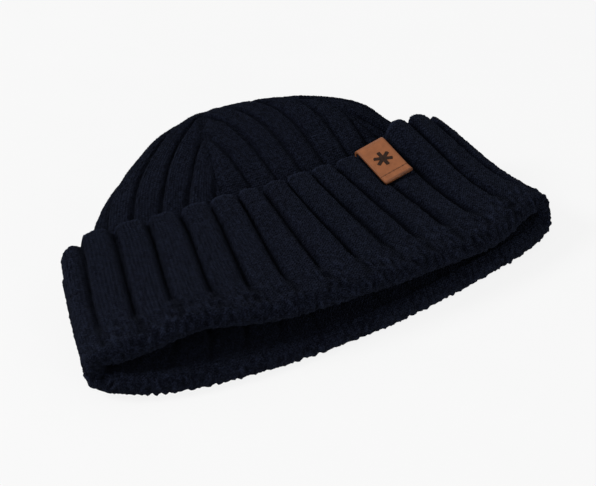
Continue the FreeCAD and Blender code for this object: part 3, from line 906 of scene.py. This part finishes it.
def build_emblem(label, material):
    """A plain six-armed star, a little proud of the leather, with softened edges."""
    middle = (-LABEL_LENGTH + LABEL_LIP) / 2
    outer = EMBLEM_SIZE / 2
    half = EMBLEM_BAR / 2
    inner = 0.87 * half / math.sin(math.pi / 6)
    height = face_height(middle)
    outline_points = []
    for arm in range(6):
        turn = math.pi / 2 + arm * math.pi / 3
        along = np.array([math.cos(turn), math.sin(turn)])
        beside = np.array([-along[1], along[0]])
        for share in np.linspace(0, 1, 5):
            outline_points.append(along * (inner * (1 - share) + outer * share) - beside * half)
        outline_points.append(along * (outer + 0.25 * half))
        for share in np.linspace(1, 0, 5):
            outline_points.append(along * (inner * (1 - share) + outer * share) + beside * half)
    count = len(outline_points)
    points = []
    for inset, rise in ((0.0, -0.1), (0.0, 0.7 * EMBLEM_THICKNESS), (0.15, EMBLEM_THICKNESS)):
        shrink = 1 - inset / outer
        for across, up in outline_points:
            points.append(label.point(across * shrink, middle + up * shrink, height + rise))
    points.append(label.point(0, middle, height + EMBLEM_THICKNESS))
    points.append(label.point(0, middle, height - 0.1))
    faces = grid_faces(3, count)
    faces += fan_faces(2 * count, count, 3 * count)
    faces += fan_faces(0, count, 3 * count + 1, outward=False)
    return mesh_object("label_star_mark", points, faces, material, smooth=False)


def build_stitches(label, material):
    """Short thread stitches in a row across the label, each dipping into the leather at its ends."""
    up = -LABEL_LENGTH + LABEL_LIP + CREASE_ABOVE_LIP
    pitch = (LABEL_WIDTH - 2 * STITCH_MARGIN) / STITCHES
    rings, sides = 9, 8
    points = []
    faces = []
    for stitch in range(STITCHES):
        middle = (stitch - (STITCHES - 1) / 2) * pitch
        start = len(points)
        for i in range(rings):
            share = i / (rings - 1)
            to_end = abs(2 * share - 1)
            across = middle + (share - 0.5) * STITCH_LENGTH
            height = face_height(up) + 0.16 - STITCH_DIP * to_end ** 2.5
            swell = STITCH_RADIUS * math.sqrt(max(1 - to_end ** 4, 0.05))
            for k in range(sides):
                turn = 2 * math.pi / sides * k + 0.6 * share
                out = height + swell * math.sin(turn)
                points.append(label.point(across, up + swell * math.cos(turn), out))
        faces += [tuple(start + v for v in reversed(face)) for face in grid_faces(rings, sides)]
        faces.append(tuple(start + k for k in range(sides)))
        faces.append(tuple(start + (rings - 1) * sides + k for k in reversed(range(sides))))
    return mesh_object("label_sewing_stitches", points, faces, material)


# ---------------------------------------------------------------- yarn pieces

def twisted_yarn(name, path, radius, material, closed=False, turn_length=3.2, strands=2):
    """Plies of yarn twisted together along a path of points, as one mesh of closed tubes."""
    path = np.asarray(path, float)
    count = len(path)
    sides = 8
    ply = radius * 0.56
    if closed:
        tangent = np.roll(path, -1, axis=0) - np.roll(path, 1, axis=0)
        lengths = np.linalg.norm(np.roll(path, -1, axis=0) - path, axis=1)
    else:
        tangent = np.gradient(path, axis=0)
        lengths = np.linalg.norm(np.diff(path, axis=0), axis=1)
    tangent /= np.linalg.norm(tangent, axis=1, keepdims=True)
    reached = np.concatenate([[0.0], np.cumsum(lengths)])[:count]
    total = lengths.sum()
    turns = max(round(total / turn_length), 1)
    side = np.cross(tangent, [0.13, 0.27, 0.95])
    side /= np.linalg.norm(side, axis=1, keepdims=True)
    other = np.cross(tangent, side)
    points = []
    faces = []
    for strand in range(strands):
        angle = 2 * math.pi * (turns * reached / total + strand / strands)
        centre = path + (radius - ply) * (side * np.cos(angle)[:, None] + other * np.sin(angle)[:, None])
        start = len(points)
        for i in range(count):
            for k in range(sides):
                turn = 2 * math.pi * k / sides
                points.append(centre[i] + ply * (side[i] * math.cos(turn) + other[i] * math.sin(turn)))
        tube = grid_faces(count, sides, close_rows=closed)
        faces += [tuple(start + v for v in face) for face in tube]
        if not closed:
            faces.append(tuple(start + k for k in reversed(range(sides))))
            faces.append(tuple(start + (count - 1) * sides + k for k in range(sides)))
    return mesh_object(name, points, faces, material)


def build_gather_yarn(material):
    """The drawn ring of yarn that closes the crown, just outside the tip."""
    row = section(BODY, BODY_LENGTH)
    centre = np.array([row["left_x"], row["left_y"] + GATHER_STANDOFF, row["left_z"] - GATHER_DROP])
    ring = []
    for turn in np.linspace(0, 2 * math.pi, 72, endpoint=False):
        ring.append(centre + GATHER_RADIUS * np.array([math.cos(turn), 0, math.sin(turn)]))
    return twisted_yarn("crown_gather_ring", ring, GATHER_YARN, material, closed=True)


def build_seam_thread(material):
    """The yarn of the back seam, along the inside of the body's back."""
    rib = np.array([SEAM_RIB])
    places = np.linspace(SEAM_START, SEAM_END, 150)
    path = [surface_loop(BODY, at, rib, WALL + SEAM_STANDOFF)[0] for at in places]
    return twisted_yarn("back_seam_yarn", path, SEAM_YARN, material, turn_length=4.0)


# ---------------------------------------------------------------- assembly

def add_piece(piece, node):
    """Puts one visual piece in place of its CAD node."""
    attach(piece, "root")
    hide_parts(node)


def build_object():
    """Every piece of the hat, each riding on the root."""
    wool = wool_material()
    yarn = thread_material("navy_yarn", (0.0006, 0.0007, 0.0014, 1), (0.0035, 0.0042, 0.0075, 1), 400.0)
    leather = leather_material()
    label = LabelFrame()
    cuff = build_cuff(wool, label)
    add_piece(cuff, "cuff_band")
    body = build_body(wool)
    add_piece(body, "knit_body")
    strip = build_label(label, leather)
    add_piece(strip, "leather_label")
    add_piece(build_gather_yarn(yarn), "crown_gather_yarn")
    add_piece(build_seam_thread(yarn), "back_seam_thread")
    add_piece(build_emblem(label, mark_material()), "label_emblem")
    brown = thread_material("waxed_label_thread", (0.05, 0.02, 0.01, 1), (0.11, 0.045, 0.025, 1), 900.0)
    add_piece(build_stitches(label, brown), "label_stitching")


def softbox(name, place, size, power):
    """A round area light aimed at the hat."""
    light = bpy.data.lights.new(name, "AREA")
    light.shape = "DISK"
    light.size = size
    light.energy = power
    thing = bpy.data.objects.new(name, light)
    thing.location = place
    thing.rotation_euler = (-Vector(place)).to_track_quat("-Z", "Y").to_euler()
    bpy.context.scene.collection.objects.link(thing)


def build_stage():
    """A pale table, an even white surround, a key light from the left and a weak fill for the opening."""
    bpy.ops.mesh.primitive_plane_add(size=8.0, location=(0, 0, -0.0002))
    floor = bpy.context.object
    floor.name = "studio_floor"
    floor.data.materials.append(floor_material())

    world = bpy.data.worlds.new("studio_world")
    bpy.context.scene.world = world
    world.use_nodes = True
    world.node_tree.nodes["Background"].inputs[0].default_value = (1, 1, 1, 1)
    world.node_tree.nodes["Background"].inputs[1].default_value = 0.94

    softbox("key_softbox", (-1.5, 0.3, 1.2), 0.7, 56.0)
    softbox("opening_fill", (0.1, -1.5, 0.35), 0.8, 15.0)


def build_camera():
    """Aimed at the hat from its left front, far enough away for a long lens."""
    azimuth, elevation = math.radians(CAMERA_AZIMUTH), math.radians(CAMERA_ELEVATION)
    back = np.array([math.sin(azimuth) * math.cos(elevation),
                     -math.cos(azimuth) * math.cos(elevation), math.sin(elevation)])
    right = np.array([math.cos(azimuth), math.sin(azimuth), 0])
    up = np.cross(back, right)
    rim_middle = -PLAN_CENTRE * MM
    place = rim_middle + back * CAMERA_DISTANCE
    aim = rim_middle + right * CAMERA_AIM[0] + up * CAMERA_AIM[1]
    camera = bpy.data.cameras.new("camera")
    camera.lens = CAMERA_LENS
    camera.sensor_width = 36.0
    camera.clip_start = 0.01
    thing = bpy.data.objects.new("camera", camera)
    thing.location = place
    thing.rotation_euler = Vector(place - aim).to_track_quat("Z", "Y").to_euler()
    bpy.context.scene.collection.objects.link(thing)
    bpy.context.scene.camera = thing


build_object()
build_stage()
build_camera()
bpy.context.scene.view_settings.view_transform = "Standard"
